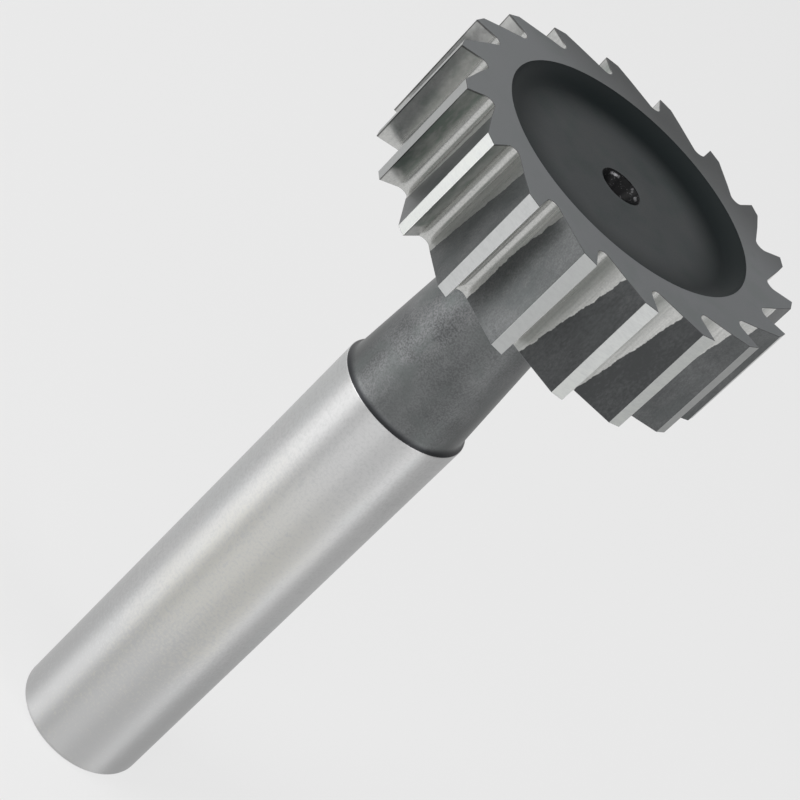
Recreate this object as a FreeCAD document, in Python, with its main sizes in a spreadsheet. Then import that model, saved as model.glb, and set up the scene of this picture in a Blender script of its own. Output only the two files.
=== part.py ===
"""Keyseat cutter: toothed head, tapered neck and plain round shank, in one piece of high speed steel.

The cutter stands on the flat end of its shank with the axis along Z, so the toothed head is on top.
All lengths are in millimetres and all angles in degrees.
"""
import math
import os
from enum import IntEnum

import FreeCAD
import Part
import Sketcher
from FreeCAD import Vector

NODE = "keyseat_cutter"
OUT_DIR = "parts"
SHEET = "Sizes"


class At(IntEnum):
    """Points of a line or an arc, as a sketch numbers them."""

    START = 1
    END = 2
    CENTRE = 3


class Axis(IntEnum):
    """Axes of a sketch. The horizontal one starts at the sketch's origin."""

    HORIZONTAL = -1
    VERTICAL = -2


ORIGIN = (Axis.HORIZONTAL, At.START)

SIZES = {
    "shank_diameter": (12.0, "ground shank, held in a collet"),
    "shank_length": (45.0, "cylindrical shank up to the shoulder"),
    "shank_end_radius": (0.5, "rounding of the shank's free end"),
    "shoulder_step": (0.34, "how far the neck lies inside the shank at the shoulder"),
    "shoulder_radius": (0.8, "hollow turned by the tool's nose at the shoulder"),
    "neck_length": (16.4, "from the shoulder to the back of the head"),
    "neck_taper_angle": (3.8, "slope of the neck's side, smaller towards the head"),
    "neck_root_radius": (1.0, "fillet between the neck and the back of the head"),
    "head_diameter": (32.5, "over the cutting edges"),
    "head_width": (10.0, "width of the keyseat that the head cuts"),
    "rim_width": (4.72, "flat ring of the face between the recess and the cutting edges"),
    "recess_depth": (1.1, "hollow in the face"),
    "recess_wall_radius": (1.8, "concave wall of the hollow"),
    "centre_mouth_diameter": (3.7, "mouth of the centre holes"),
    "centre_cone_angle": (60.0, "included angle of the centre holes"),
    "centre_pilot_diameter": (2.0, "pilot drilling of the centre holes"),
    "centre_pilot_depth": (4.5, "from the mouth to the end of the pilot's side"),
    "centre_point_angle": (118.0, "included angle of the drill's point"),
    "tooth_count": (18, "teeth round the head"),
    "land_width": (1.2, "ground land behind each cutting edge"),
    "land_relief_angle": (9.0, "land's fall behind the cutting edge"),
    "rake_angle": (9.0, "undercut of the cutting face"),
    "gullet_angle": (58.0, "between the cutting face and the back of the tooth ahead"),
    "gullet_radius": (0.55, "root of the gullet"),
    "run_out": (1.0, "length by which a cut passes the faces it opens through"),
}


def size(name):
    """Return the value of one driving dimension."""
    return SIZES[name][0]


def make_sheet(doc):
    """Write the driving dimensions into a spreadsheet, one row each."""
    sheet = doc.addObject("Spreadsheet::Sheet", SHEET)
    for row, (name, (value, meaning)) in enumerate(SIZES.items(), start=1):
        sheet.set(f"A{row}", name)
        sheet.set(f"B{row}", str(value))
        sheet.set(f"C{row}", meaning)
        sheet.setAlias(f"B{row}", name)
    doc.recompute()
    return sheet


def origin_plane(body, role):
    """Return one of the body's own origin planes."""
    return next(item for item in body.Origin.OriginFeatures if item.Role == role)


def new_sketch(body, name, role, height=None):
    """Attach a sketch to an origin plane, raised along that plane's normal by the expression height."""
    sketch = body.newObject("Sketcher::SketchObject", name)
    sketch.AttachmentSupport = [(origin_plane(body, role), "")]
    sketch.MapMode = "FlatFace"
    if height:
        sketch.setExpression("AttachmentOffset.Base.z", height)
    return sketch


def point(x, y):
    """Return a sketch point."""
    return Vector(x, y, 0)


def polar(radius, degrees):
    """Return the sketch point at this radius and angle."""
    angle = math.radians(degrees)
    return point(radius * math.cos(angle), radius * math.sin(angle))


def add_line(sketch, first, last, construction=False):
    """Draw a line and return its number in the sketch."""
    return sketch.addGeometry(Part.LineSegment(first, last), construction)


def add_arc(sketch, centre, radius, from_degrees, to_degrees):
    """Draw an arc that runs counterclockwise and return its number in the sketch."""
    circle = Part.Circle(centre, Vector(0, 0, 1), radius)
    arc = Part.ArcOfCircle(circle, math.radians(from_degrees), math.radians(to_degrees))
    return sketch.addGeometry(arc)


def tie(sketch, kind, *arguments):
    """Add a constraint that has no size of its own."""
    sketch.addConstraint(Sketcher.Constraint(kind, *arguments))


def dimension(sketch, name, expression, kind, *arguments):
    """Add a named constraint whose size is an expression of the sheet's cells."""
    value = float(sketch.evalExpression(expression))
    if kind == "Angle":
        value = math.radians(value)
    number = sketch.addConstraint(Sketcher.Constraint(kind, *arguments, value))
    sketch.renameConstraint(number, name)
    sketch.setExpression(f"Constraints.{name}", expression)


def join_chain(sketch, chain):
    """Join (geometry, end, next geometry, its end) in turn."""
    for link in chain:
        tie(sketch, "Coincident", *link)


def neck_radius(height):
    """Return the radius of the neck's slope at a height above the shoulder."""
    at_shoulder = size("shank_diameter") / 2 - size("shoulder_step")
    return at_shoulder - height * math.tan(math.radians(size("neck_taper_angle")))


def draw_turned_profile(sketch):
    """Draw half of the section of the turned blank: shank, shoulder, neck and head."""
    shank = size("shank_diameter") / 2
    head = size("head_diameter") / 2
    corner = size("shank_length")
    back = corner + size("neck_length")
    top = back + size("head_width")
    edge = size("shank_end_radius")
    hollow = size("shoulder_radius")
    root = size("neck_root_radius")
    taper = size("neck_taper_angle")
    lean = math.radians(taper)
    step = size("shoulder_step")

    inset = hollow - step * math.cos(lean)
    rise = math.sqrt(hollow ** 2 - inset ** 2) - step * math.sin(lean)
    foot = point(neck_radius(0) - rise * math.sin(lean), corner + rise * math.cos(lean))
    hollow_centre = foot + point(hollow * math.cos(lean), hollow * math.sin(lean))
    to_corner = point(shank, corner) - hollow_centre
    corner_angle = math.degrees(math.atan2(to_corner.y, to_corner.x)) + 360

    root_height = size("neck_length") - root
    root_centre = point(neck_radius(root_height) + root / math.cos(lean), back - root)
    neck_top = root_centre - point(root * math.cos(lean), root * math.sin(lean))

    end = add_line(sketch, point(0, 0), point(shank - edge, 0))
    end_arc = add_arc(sketch, point(shank - edge, edge), edge, -90, 0)
    side = add_line(sketch, point(shank, edge), point(shank, corner))
    hollow_arc = add_arc(sketch, hollow_centre, hollow, 180 + taper, corner_angle)
    neck = add_line(sketch, foot, neck_top)
    root_arc = add_arc(sketch, root_centre, root, 90, 180 + taper)
    back_face = add_line(sketch, point(root_centre.x, back), point(head, back))
    rim = add_line(sketch, point(head, back), point(head, top))
    face = add_line(sketch, point(head, top), point(0, top))
    axis = add_line(sketch, point(0, top), point(0, 0))
    inner_step = add_line(sketch, point(shank, corner), point(shank - step, corner), True)

    join_chain(sketch, [
        (side, At.END, hollow_arc, At.END),
        (back_face, At.END, rim, At.START),
        (rim, At.END, face, At.START),
        (face, At.END, axis, At.START),
        (axis, At.END, end, At.START),
        (inner_step, At.START, side, At.END),
    ])
    for first, first_end, second, second_end in [
        (end, At.END, end_arc, At.START),
        (end_arc, At.END, side, At.START),
        (neck, At.START, hollow_arc, At.START),
        (neck, At.END, root_arc, At.END),
        (root_arc, At.START, back_face, At.START),
    ]:
        tie(sketch, "Tangent", first, first_end, second, second_end)
    for line in (end, back_face, face, inner_step):
        tie(sketch, "Horizontal", line)
    for line in (side, rim, axis):
        tie(sketch, "Vertical", line)
    tie(sketch, "Coincident", end, At.START, *ORIGIN)
    tie(sketch, "PointOnObject", inner_step, At.END, neck)

    dimension(sketch, "shank_radius", "Sizes.shank_diameter / 2", "DistanceX", *ORIGIN, side, At.END)
    dimension(sketch, "shank_length", "Sizes.shank_length", "DistanceY", *ORIGIN, side, At.END)
    dimension(sketch, "shank_end", "Sizes.shank_end_radius", "Radius", end_arc)
    dimension(sketch, "shoulder_step", "Sizes.shoulder_step", "DistanceX", inner_step, At.END, side, At.END)
    dimension(sketch, "shoulder_radius", "Sizes.shoulder_radius", "Radius", hollow_arc)
    dimension(sketch, "neck_slope", "90 + Sizes.neck_taper_angle", "Angle", neck)
    dimension(sketch, "neck_length", "Sizes.neck_length", "DistanceY", side, At.END, back_face, At.END)
    dimension(sketch, "neck_root", "Sizes.neck_root_radius", "Radius", root_arc)
    dimension(sketch, "head_radius", "Sizes.head_diameter / 2", "DistanceX", *ORIGIN, rim, At.START)
    dimension(sketch, "head_width", "Sizes.head_width", "DistanceY", rim, At.START, rim, At.END)


def draw_recess_profile(sketch):
    """Draw half of the section of the hollow in the face."""
    top = size("shank_length") + size("neck_length") + size("head_width")
    floor = top - size("recess_depth")
    mouth = size("head_diameter") / 2 - size("rim_width")
    wall = size("recess_wall_radius")
    over = top + size("run_out")
    spread = math.sqrt(wall ** 2 - (wall - size("recess_depth")) ** 2)
    rim_angle = math.degrees(math.asin((size("recess_depth") - wall) / wall))

    floor_line = add_line(sketch, point(0, floor), point(mouth - spread, floor))
    wall_arc = add_arc(sketch, point(mouth - spread, floor + wall), wall, -90, rim_angle)
    lip = add_line(sketch, point(mouth, top), point(mouth, over))
    cover = add_line(sketch, point(mouth, over), point(0, over))
    axis = add_line(sketch, point(0, over), point(0, floor))

    join_chain(sketch, [
        (wall_arc, At.END, lip, At.START),
        (lip, At.END, cover, At.START),
        (cover, At.END, axis, At.START),
        (axis, At.END, floor_line, At.START),
    ])
    tie(sketch, "Tangent", floor_line, At.END, wall_arc, At.START)
    tie(sketch, "Horizontal", floor_line)
    tie(sketch, "Horizontal", cover)
    tie(sketch, "Vertical", lip)
    tie(sketch, "Vertical", axis)
    tie(sketch, "PointOnObject", axis, At.END, Axis.VERTICAL)

    top_of_face = "Sizes.shank_length + Sizes.neck_length + Sizes.head_width"
    mouth_radius = "Sizes.head_diameter / 2 - Sizes.rim_width"
    dimension(sketch, "mouth_radius", mouth_radius, "DistanceX", *ORIGIN, lip, At.START)
    dimension(sketch, "face_height", top_of_face, "DistanceY", *ORIGIN, lip, At.START)
    dimension(sketch, "depth", "Sizes.recess_depth", "DistanceY", floor_line, At.START, lip, At.START)
    dimension(sketch, "wall_radius", "Sizes.recess_wall_radius", "Radius", wall_arc)
    dimension(sketch, "run_out", "Sizes.run_out", "DistanceY", lip, At.START, lip, At.END)


def draw_centre_profile(sketch, mouth_height, mouth_expression, inward):
    """Draw half of the section of a centre hole, drilled upwards if inward is 1, downwards if it is -1."""
    mouth = size("centre_mouth_diameter") / 2
    pilot = size("centre_pilot_diameter") / 2
    cone = math.radians(size("centre_cone_angle") / 2)
    drill = math.radians(size("centre_point_angle") / 2)
    cone_height = mouth_height + inward * (mouth - pilot) / math.tan(cone)
    pilot_height = mouth_height + inward * size("centre_pilot_depth")
    tip_height = pilot_height + inward * pilot / math.tan(drill)

    opening = add_line(sketch, point(0, mouth_height), point(mouth, mouth_height))
    flare = add_line(sketch, point(mouth, mouth_height), point(pilot, cone_height))
    side = add_line(sketch, point(pilot, cone_height), point(pilot, pilot_height))
    tip = add_line(sketch, point(pilot, pilot_height), point(0, tip_height))
    axis = add_line(sketch, point(0, tip_height), point(0, mouth_height))

    join_chain(sketch, [
        (opening, At.END, flare, At.START),
        (flare, At.END, side, At.START),
        (side, At.END, tip, At.START),
        (tip, At.END, axis, At.START),
        (axis, At.END, opening, At.START),
    ])
    tie(sketch, "Horizontal", opening)
    tie(sketch, "Vertical", side)
    tie(sketch, "Vertical", axis)
    tie(sketch, "PointOnObject", opening, At.START, Axis.VERTICAL)

    if mouth_expression:
        dimension(sketch, "mouth_height", mouth_expression, "DistanceY", *ORIGIN, opening, At.START)
    else:
        tie(sketch, "PointOnObject", opening, At.END, Axis.HORIZONTAL)
    mouth_radius = "Sizes.centre_mouth_diameter / 2"
    pilot_radius = "Sizes.centre_pilot_diameter / 2"
    flare_height = f"({mouth_radius} - {pilot_radius}) / tan(Sizes.centre_cone_angle / 2)"
    point_height = f"{pilot_radius} / tan(Sizes.centre_point_angle / 2)"
    dimension(sketch, "mouth_radius", mouth_radius, "DistanceX", opening, At.START, opening, At.END)
    dimension(sketch, "pilot_radius", pilot_radius, "DistanceX", tip, At.END, side, At.END)
    for name, expression, outer, inner in [
        ("flare_height", flare_height, opening, flare),
        ("pilot_depth", "Sizes.centre_pilot_depth", opening, side),
        ("point_height", point_height, side, tip),
    ]:
        lower, upper = (outer, inner) if inward > 0 else (inner, outer)
        dimension(sketch, name, expression, "DistanceY", lower, At.END, upper, At.END)


def draw_gullet_profile(sketch):
    """Draw the space between two cutting edges: land, tooth's back, root and the next cutting face."""
    tip_radius = size("head_diameter") / 2
    pitch = 360 / size("tooth_count")
    land_angle = -90 - size("land_relief_angle")
    rake_inward = 180 - pitch + size("rake_angle")
    rake_outward = rake_inward - 180
    back_outward = rake_outward + size("gullet_angle")
    root = size("gullet_radius")
    outside = tip_radius + size("run_out")

    edge = polar(tip_radius, 0)
    heel = edge + polar(size("land_width"), land_angle)
    next_edge = polar(tip_radius, -pitch)
    back = polar(1, back_outward)
    rake = polar(1, rake_outward)
    between = heel - next_edge
    rake_reach = (between.x * back.y - between.y * back.x) / (rake.x * back.y - rake.y * back.x)
    crossing = next_edge + rake * rake_reach
    half = math.radians(size("gullet_angle") / 2)
    root_centre = crossing + polar(root / math.sin(half), rake_outward + size("gullet_angle") / 2)
    back_foot = crossing + back * (root / math.tan(half))
    rake_foot = crossing + rake * (root / math.tan(half))

    land = add_line(sketch, edge, heel)
    back_line = add_line(sketch, heel, back_foot)
    root_arc = add_arc(sketch, root_centre, root, back_outward + 90, rake_outward + 270)
    rake_line = add_line(sketch, rake_foot, next_edge)
    leave = add_line(sketch, next_edge, polar(outside, -pitch))
    outer_arc = add_arc(sketch, point(0, 0), outside, -pitch, 0)
    enter = add_line(sketch, polar(outside, 0), edge)
    spoke = add_line(sketch, point(0, 0), next_edge, True)

    join_chain(sketch, [
        (land, At.END, back_line, At.START),
        (rake_line, At.END, leave, At.START),
        (leave, At.END, outer_arc, At.START),
        (outer_arc, At.END, enter, At.START),
        (enter, At.END, land, At.START),
        (spoke, At.START, *ORIGIN),
        (spoke, At.END, leave, At.START),
        (outer_arc, At.CENTRE, *ORIGIN),
    ])
    tie(sketch, "Tangent", back_line, At.END, root_arc, At.START)
    tie(sketch, "Tangent", root_arc, At.END, rake_line, At.START)
    tie(sketch, "PointOnObject", enter, At.START, Axis.HORIZONTAL)
    tie(sketch, "PointOnObject", enter, At.END, Axis.HORIZONTAL)
    tie(sketch, "PointOnObject", leave, At.END, spoke)

    edge_radius = "Sizes.head_diameter / 2"
    rake_direction = "Sizes.rake_angle - 360 / Sizes.tooth_count"
    dimension(sketch, "edge_radius", edge_radius, "DistanceX", *ORIGIN, land, At.START)
    dimension(sketch, "next_edge_radius", edge_radius, "Distance", spoke)
    dimension(sketch, "outer_radius", f"{edge_radius} + Sizes.run_out", "Radius", outer_arc)
    dimension(sketch, "pitch", "-360 / Sizes.tooth_count", "Angle", spoke)
    dimension(sketch, "land_width", "Sizes.land_width", "Distance", land)
    dimension(sketch, "land_relief", "-90 - Sizes.land_relief_angle", "Angle", land)
    dimension(sketch, "rake", rake_direction, "Angle", rake_line)
    dimension(sketch, "back", f"180 + {rake_direction} + Sizes.gullet_angle", "Angle", back_line)
    dimension(sketch, "gullet_radius", "Sizes.gullet_radius", "Radius", root_arc)


def revolve(body, sketch, kind, name):
    """Turn a section once round the Z axis, as material or as a cut."""
    feature = body.newObject(kind, name)
    feature.Profile = sketch
    feature.ReferenceAxis = (sketch, ["V_Axis"])
    feature.Angle = 360
    sketch.Visibility = False
    return feature


def require_cut(doc, body, volume_before, name):
    """Recompute, and stop if the named cut took nothing away."""
    doc.recompute()
    volume = body.Shape.Volume
    if volume >= volume_before:
        raise RuntimeError(f"{name} removed no material")
    return volume


def turn_blank(doc, body):
    """Turn the blank, the hollow of its face and the two centre holes."""
    profile = new_sketch(body, "turned_profile", "XZ_Plane")
    draw_turned_profile(profile)
    revolve(body, profile, "PartDesign::Revolution", "turned_blank")
    doc.recompute()
    volume = body.Shape.Volume

    recess = new_sketch(body, "recess_profile", "XZ_Plane")
    draw_recess_profile(recess)
    revolve(body, recess, "PartDesign::Groove", "face_recess")
    volume = require_cut(doc, body, volume, "face_recess")

    floor = size("shank_length") + size("neck_length") + size("head_width") - size("recess_depth")
    floor_expression = "Sizes.shank_length + Sizes.neck_length + Sizes.head_width - Sizes.recess_depth"
    centres = [("face_centre", floor, floor_expression, -1), ("shank_centre", 0, None, 1)]
    for name, height, expression, inward in centres:
        sketch = new_sketch(body, f"{name}_profile", "XZ_Plane")
        draw_centre_profile(sketch, height, expression, inward)
        revolve(body, sketch, "PartDesign::Groove", name)
        volume = require_cut(doc, body, volume, name)
    return volume


def cut_teeth(doc, body, volume):
    """Mill one gullet across the head's rim and repeat it round the axis."""
    above_face = "Sizes.shank_length + Sizes.neck_length + Sizes.head_width + Sizes.run_out"
    sketch = new_sketch(body, "gullet_profile", "XY_Plane", above_face)
    draw_gullet_profile(sketch)
    gullet = body.newObject("PartDesign::Pocket", "gullet")
    gullet.Profile = sketch
    gullet.Type = "Length"
    gullet.setExpression("Length", "Sizes.head_width + 2 * Sizes.run_out")
    sketch.Visibility = False
    volume = require_cut(doc, body, volume, "gullet")

    teeth = body.newObject("PartDesign::PolarPattern", "teeth")
    teeth.Originals = [gullet]
    teeth.Axis = (sketch, ["N_Axis"])
    teeth.Angle = 360
    teeth.setExpression("Occurrences", "Sizes.tooth_count")
    body.Tip = teeth
    require_cut(doc, body, volume, "teeth")


def make_cutter(doc):
    """Build the cutter as one body."""
    body = doc.addObject("PartDesign::Body", "KeyseatCutter")
    body.Label = NODE
    volume = turn_blank(doc, body)
    cut_teeth(doc, body, volume)
    body.Placement = FreeCAD.Placement(Vector(0, 0, 0), FreeCAD.Rotation())
    doc.recompute()
    return body


def check(doc, bodies):
    """Stop if any object failed or any part is not one sound solid."""
    for item in doc.Objects:
        if "Invalid" in item.State or "Error" in item.State:
            raise RuntimeError(f"{item.Name} is {item.State}")
        if item.TypeId == "Sketcher::SketchObject" and item.solve() != 0:
            raise RuntimeError(f"{item.Name} has constraints that disagree")
    for body in bodies:
        shape = body.Shape
        if shape.isNull() or not shape.isValid() or len(shape.Solids) != 1:
            raise RuntimeError(f"{body.Label} is not one sound solid")


def export(bodies):
    """Write each part to a STEP file that has the part's name."""
    os.makedirs(OUT_DIR, exist_ok=True)
    for body in bodies:
        body.Shape.exportStep(os.path.join(OUT_DIR, f"{body.Label}.step"))


document = FreeCAD.newDocument("KeyseatCutter")
make_sheet(document)
cutter = make_cutter(document)
check(document, [cutter])
export([cutter])
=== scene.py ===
"""A woodruff keyseat cutter, dressed over its CAD solid.

The cutter stands on the flat end of its shank, with its axis along Z. Sizes are in millimetres and degrees,
as in the part's own source, and meshes are in metres.
"""

import logging
import math
from dataclasses import dataclass
from enum import Enum, IntEnum
from typing import Callable, Optional, Union

import bmesh
import bpy
from mathutils import Matrix, Quaternion, Vector


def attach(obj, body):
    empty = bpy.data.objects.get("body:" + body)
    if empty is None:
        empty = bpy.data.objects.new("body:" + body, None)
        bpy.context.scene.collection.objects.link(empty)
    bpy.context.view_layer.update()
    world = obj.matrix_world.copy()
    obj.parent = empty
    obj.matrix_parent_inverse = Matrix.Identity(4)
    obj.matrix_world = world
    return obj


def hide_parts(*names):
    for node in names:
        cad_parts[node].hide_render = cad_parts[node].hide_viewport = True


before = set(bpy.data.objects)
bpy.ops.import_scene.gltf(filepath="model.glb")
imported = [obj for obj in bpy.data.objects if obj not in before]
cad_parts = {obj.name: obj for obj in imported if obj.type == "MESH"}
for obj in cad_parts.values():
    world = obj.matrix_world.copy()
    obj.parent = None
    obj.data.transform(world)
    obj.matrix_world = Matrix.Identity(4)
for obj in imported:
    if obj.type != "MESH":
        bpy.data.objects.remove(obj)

MM = 0.001
NODE = "keyseat_cutter"
BODY = "root"

HEAD_WIDTH = 10.0
STRIP_FALL = 1.35
STRIP_LEAST = 0.25
GUARD = 0.1
FINE_GUARD = 0.05
SAME_PLACE = 1e-9

log = logging.getLogger("cutter")

Number = Union[float, "Signal"]
Colour = tuple[float, float, float]
Point = tuple[float, float]
Spot = tuple[float, float, float]


class Zone(IntEnum):
    """Areas of the cutter that have a finish of their own."""

    SHANK = 0
    NECK = 1
    HEAD_BACK = 2
    FACE = 3
    RECESS = 4
    CENTRE = 5
    FLANK = 6
    LAND = 7
    EDGE = 8


class Tag(str, Enum):
    """Names of what the mesh carries for its geometry and shader nodes."""

    ZONE = "zone"
    FLANK = "flank"
    RISE = "rise"
    SHARE = "share"
    TOOTH = "tooth"
    STRIP = "strip"
    # Per-tooth painted light and shade of the backs and cutting faces.
    TOOTH_LIGHT = "thin"
    # Per-tooth painted light and shade of the lands.
    BRIGHT = "bright"


# Node building


def overload(operation: str, reflected: bool = False) -> Callable[["Signal", Number], "Signal"]:
    """Return a method that adds a Math node, with its two values swapped when reflected."""

    def method(self: "Signal", other: Number) -> "Signal":
        """Return the result of the Math node."""
        return self.math(operation, *((other, self) if reflected else (self, other)))

    return method


class Signal:
    """One output of a node, with arithmetic that adds Math nodes."""

    def __init__(self, bench: "Bench", socket: bpy.types.NodeSocket) -> None:
        """Keep the bench that adds nodes and the socket that this stands for."""
        self.bench = bench
        self.socket = socket

    def output(self, name: str) -> "Signal":
        """Return another output of the same node."""
        return Signal(self.bench, self.socket.node.outputs[name])

    def math(self, operation: str, *values: Number) -> "Signal":
        """Return the result of a Math node on these values."""
        return self.bench.add("ShaderNodeMath", dict(enumerate(values)), {"operation": operation})

    __add__, __radd__ = overload("ADD"), overload("ADD", True)
    __sub__, __rsub__ = overload("SUBTRACT"), overload("SUBTRACT", True)
    __mul__, __rmul__ = overload("MULTIPLY"), overload("MULTIPLY", True)
    __truediv__, __rtruediv__ = overload("DIVIDE"), overload("DIVIDE", True)
    at_least = overload("MAXIMUM")

    def __neg__(self) -> "Signal":
        """Return -self."""
        return self * -1.0

    def __abs__(self) -> "Signal":
        """Return this value without its sign."""
        return self.math("ABSOLUTE", self)

    def sine(self) -> "Signal":
        """Return the sine of this angle in radians."""
        return self.math("SINE", self)

    def cosine(self) -> "Signal":
        """Return the cosine of this angle in radians."""
        return self.math("COSINE", self)

    def equals(self, other: Number) -> "Signal":
        """Return 1 where two whole numbers are equal."""
        return self.math("COMPARE", self, other, 0.1)

    def rise(self, low: Number, high: Number) -> "Signal":
        """Return a smooth step from 0 at low to 1 at high."""
        inputs = {"Value": self, "From Min": low, "From Max": high}
        return self.bench.add("ShaderNodeMapRange", inputs, {"interpolation_type": "SMOOTHSTEP"})


class Bench:
    """Adds nodes to one tree, of a material, a world or geometry."""

    def __init__(self, tree: bpy.types.NodeTree) -> None:
        """Keep the tree that the nodes go into."""
        self.tree = tree

    @classmethod
    def cleared(cls, owner: Union[bpy.types.Material, bpy.types.World]) -> "Bench":
        """Return the bench of a material or world, with its first nodes cleared away."""
        owner.use_nodes = True
        owner.node_tree.nodes.clear()
        return cls(owner.node_tree)

    def add(
        self,
        kind: str,
        inputs: Optional[dict] = None,
        settings: Optional[dict] = None,
        output: Union[int, str] = 0,
    ) -> Signal:
        """Add one node.

        Args:
            kind: The node's type name.
            inputs: Values or signals by socket name or number.
            settings: The node's own properties, which are set first.
            output: Name or number of the output to return.

        Returns:
            The chosen output, or the node's first input where it has no output.
        """
        node = self.tree.nodes.new(kind)
        for name, value in (settings or {}).items():
            setattr(node, name, value)
        for name, value in (inputs or {}).items():
            self.feed(node.inputs[name], value)
        return Signal(self, node.outputs[output] if node.outputs else node.inputs[0])

    def feed(self, socket: bpy.types.NodeSocket, value: object) -> None:
        """Link a signal to a socket, or set the socket's own value."""
        if isinstance(value, Signal):
            self.tree.links.new(value.socket, socket)
        else:
            socket.default_value = value

    def mix(self, factor: Number, first: object, second: object) -> Signal:
        """Return the colour between two colours."""
        inputs = {0: factor, 6: as_rgba(first), 7: as_rgba(second)}
        return self.add("ShaderNodeMix", inputs, {"data_type": "RGBA", "clamp_factor": True}, 2)

    def attribute(self, tag: Tag) -> Signal:
        """Return a number that the mesh carries."""
        return self.add("ShaderNodeAttribute", {}, {"attribute_name": tag.value}, "Fac")

    def flank(self) -> Signal:
        """Return the span and height on a tooth's flank or land, in millimetres."""
        return self.add("ShaderNodeUVMap", {}, {"uv_map": Tag.FLANK.value})

    def vector(self, operation: str, *values: object, output: Union[int, str] = 0) -> Signal:
        """Return the result of a Vector Math node on these values."""
        inputs = dict(enumerate(values))
        return self.add("ShaderNodeVectorMath", inputs, {"operation": operation}, output)

    def place(self, scale: tuple[float, float, float] = (1.0, 1.0, 1.0)) -> Signal:
        """Return the place on the object in millimetres, stretched by the scale along each axis."""
        place = self.add("ShaderNodeTexCoord", output="Object")
        return self.vector("MULTIPLY", place, tuple(part / MM for part in scale))

    def parts(self, vector: Signal) -> tuple[Signal, Signal, Signal]:
        """Return the three parts of a vector."""
        first = self.add("ShaderNodeSeparateXYZ", {0: vector})
        return first, first.output("Y"), first.output("Z")

    def join(self, **parts: Number) -> Signal:
        """Return the vector with these parts, named X, Y and Z."""
        return self.add("ShaderNodeCombineXYZ", parts)


def as_rgba(colour: object) -> object:
    """Return a written colour with its fourth part, and a signal as it is."""
    return colour if isinstance(colour, Signal) else (*colour, 1.0)


@dataclass(frozen=True)
class Grain:
    """A noise that marks a surface, with its scale per millimetre and its stretch along each axis."""

    scale: float
    detail: float = 2.0
    rough: float = 0.5
    stretch: tuple[float, float, float] = (1.0, 1.0, 1.0)

    def on(self, bench: Bench, vector: Optional[Signal] = None) -> Signal:
        """Return the noise, between about -0.25 and 0.25.

        Args:
            bench: The bench of the finish's tree.
            vector: Where to read the noise, or None for the place on the object.

        Returns:
            The noise, with 0 as its middle.
        """
        where = vector or bench.place(self.stretch)
        inputs = {"Vector": where, "Scale": self.scale, "Detail": self.detail, "Roughness": self.rough}
        return bench.add("ShaderNodeTexNoise", inputs, {}, "Fac") - 0.5


# Finishes


@dataclass
class Look:
    """What a finish feeds to its shader."""

    colour: Signal
    roughness: Number
    metallic: Number
    height: Signal


@dataclass(frozen=True)
class Finish:
    """A finish of bare or oxidised tool steel.

    The grain stretches highlights across the direction in which the surface was ground.
    """

    name: str
    grain: float = 0.0
    grain_turn: float = 0.25
    specular: float = 0.5

    def look(self, bench: Bench) -> Look:
        """Return what varies over the surface."""
        raise NotImplementedError

    def surface(self, bench: Bench) -> Signal:
        """Return the shader of this finish."""
        look = self.look(bench)
        inputs = {
            "Base Color": look.colour,
            "Roughness": look.roughness,
            "Metallic": look.metallic,
            "Anisotropic": self.grain,
            "Anisotropic Rotation": self.grain_turn,
            "Specular IOR Level": self.specular,
            "Normal": bench.add("ShaderNodeBump", {"Height": look.height, "Distance": MM}),
        }
        return bench.add("ShaderNodeBsdfPrincipled", inputs)

    def make(self) -> bpy.types.Material:
        """Return the finished material."""
        material = bpy.data.materials.new(self.name)
        bench = Bench.cleared(material)
        bench.add("ShaderNodeOutputMaterial", {"Surface": self.surface(bench)})
        return material


@dataclass(frozen=True)
class GroundShank(Finish):
    """Cylindrical grinding: fine marks round the shank, soft clouds, and painted shade that darkens the
    free end.
    """

    name: str = "ground_shank"
    grain: float = 0.85
    steel: Colour = (0.50, 0.50, 0.50)
    worn: Colour = (0.448, 0.449, 0.45)
    straw: Colour = (0.50, 0.495, 0.468)
    green: Colour = (0.494, 0.50, 0.50)
    roughness: float = 0.45
    marks: Grain = Grain(9.0, 3.0, 0.6, (0.02, 0.02, 1.0))
    clouds: Grain = Grain(0.16, stretch=(1.0, 1.0, 0.35))
    frost: Grain = Grain(4.0, 3.0, 0.75)
    hues: Grain = Grain(0.3, stretch=(1.0, 1.0, 0.3))
    mark_height: float = 0.0012
    frost_height: float = 0.0016
    end_reach: float = 27.0
    straw_fade: float = 15.0
    straw_front: Point = (-5.8, -4.2)

    def look(self, bench: Bench) -> Look:
        """Return what varies over the surface."""
        _, along, height = bench.parts(bench.place())
        marks, cloud = self.marks.on(bench), self.clouds.on(bench)
        frost, hue = self.frost.on(bench), self.hues.on(bench)
        # Painted shade: the colour darkens towards the free end, standing in for its dimmer highlights.
        free_end_shade = 1.0 - height.rise(0.0, self.end_reach)
        warm = 1.0 - (along + hue * 3.0).rise(*self.straw_front)
        warm = warm * (1.0 - height.rise(self.end_reach, self.end_reach + self.straw_fade))
        base = bench.mix(warm, bench.mix(hue.rise(0.0, 0.1), self.steel, self.green), self.straw)
        # The worn colour takes the clouds, marks and frost, and also the painted shade of the free end.
        shade = cloud * 1.4 + marks * 1.2 + frost * 5.0 + free_end_shade * 1.05 + 0.2
        roughness = self.roughness + marks * 0.12 + cloud * 0.14
        height = marks * self.mark_height + frost * self.frost_height
        return Look(bench.mix(shade, base, self.worn), roughness, 1.0, height)


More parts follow.
